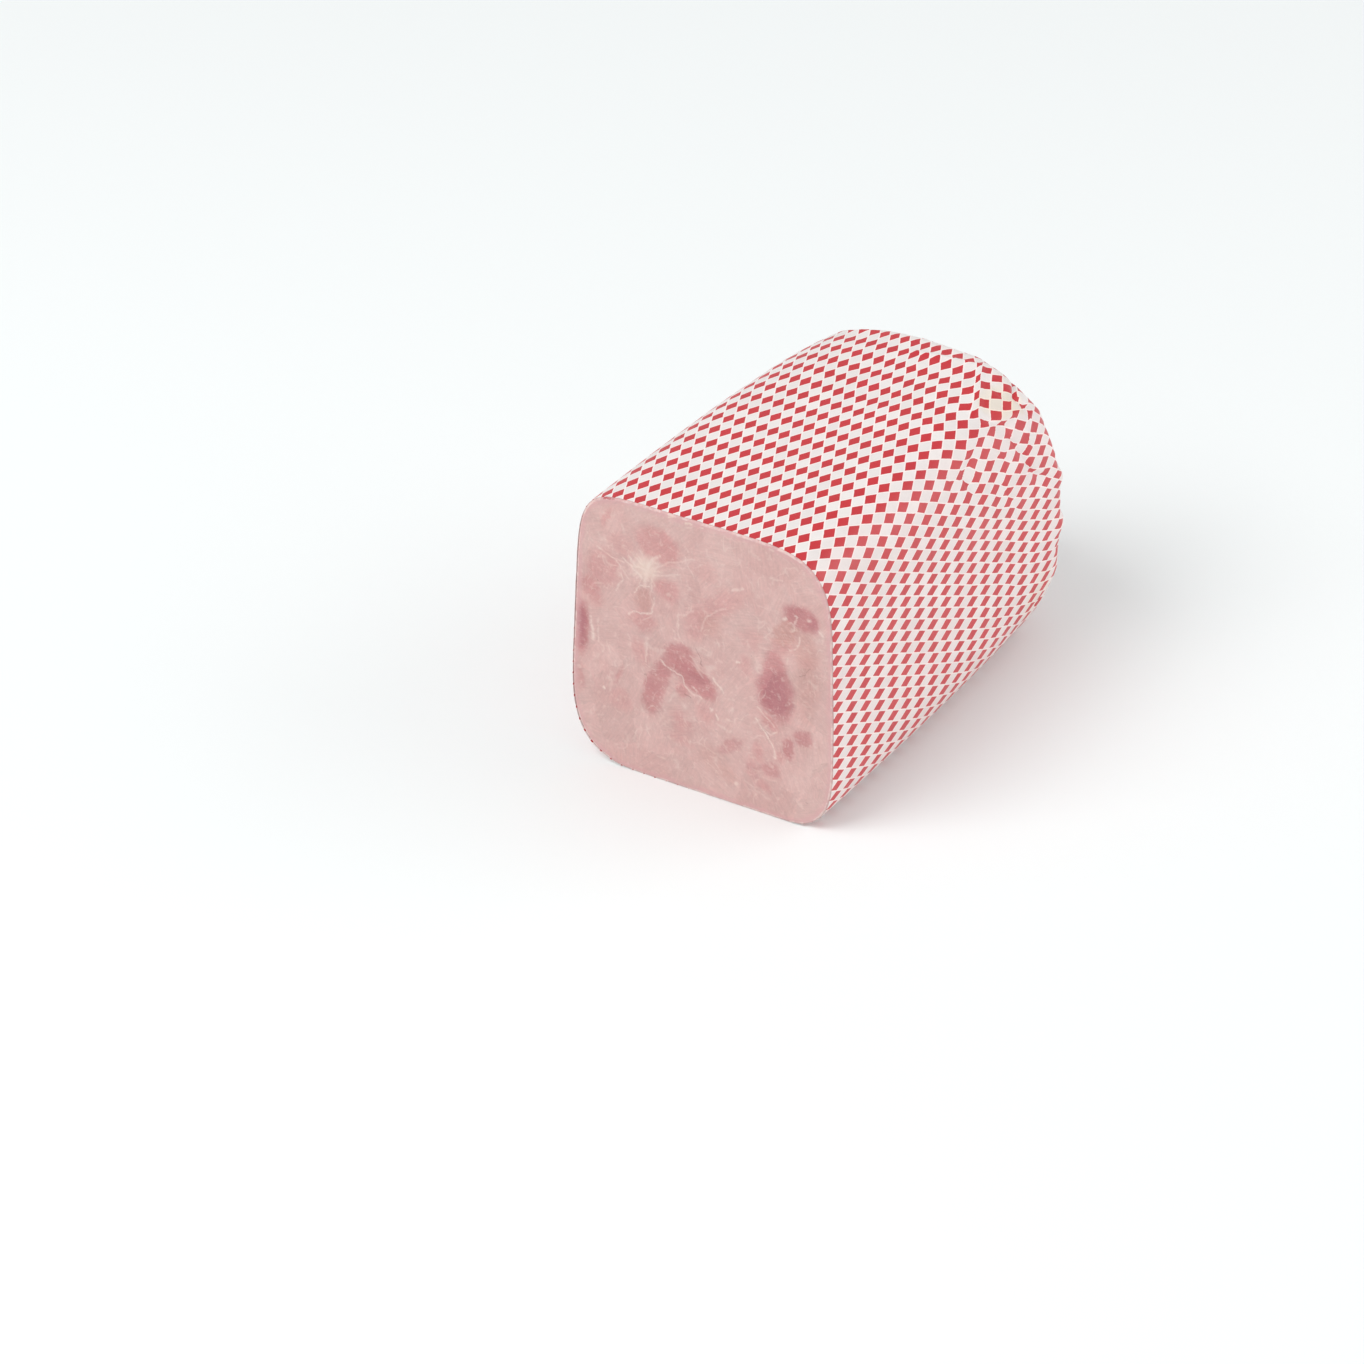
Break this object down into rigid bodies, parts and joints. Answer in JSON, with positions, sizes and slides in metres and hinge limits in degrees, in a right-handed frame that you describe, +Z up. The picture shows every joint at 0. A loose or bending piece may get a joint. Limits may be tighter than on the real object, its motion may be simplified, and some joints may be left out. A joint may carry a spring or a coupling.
{
  "type": "cooked ham",
  "caption": "Block of cooked ham with a flat cut face, rounded square in section and domed behind, in a red and white checked casing gathered into a clip.",
  "frame": {"origin": "on the surface that the ham rests on, under the middle of its box", "axes": "+Y back along the loaf from the cut face to the clip, +X to the right across the cut face seen from the front, +Z up"},
  "size_m": [0.1308, 0.2304, 0.134],
  "materials": {
    "cooked_meat": "moist sliced cooked ham, pale pink with darker muscle patches, pale fat flecks and fine veins",
    "printed_casing": "thin satin plastic casing, off-white with a red lozenge check",
    "clip_metal": "plain drawn aluminium wire, slightly scuffed"
  },
  "bodies": {
    "root": {"meat": "cooked_meat", "casing": "printed_casing", "tail": "printed_casing", "clip": "clip_metal"}
  },
  "joints": []
}
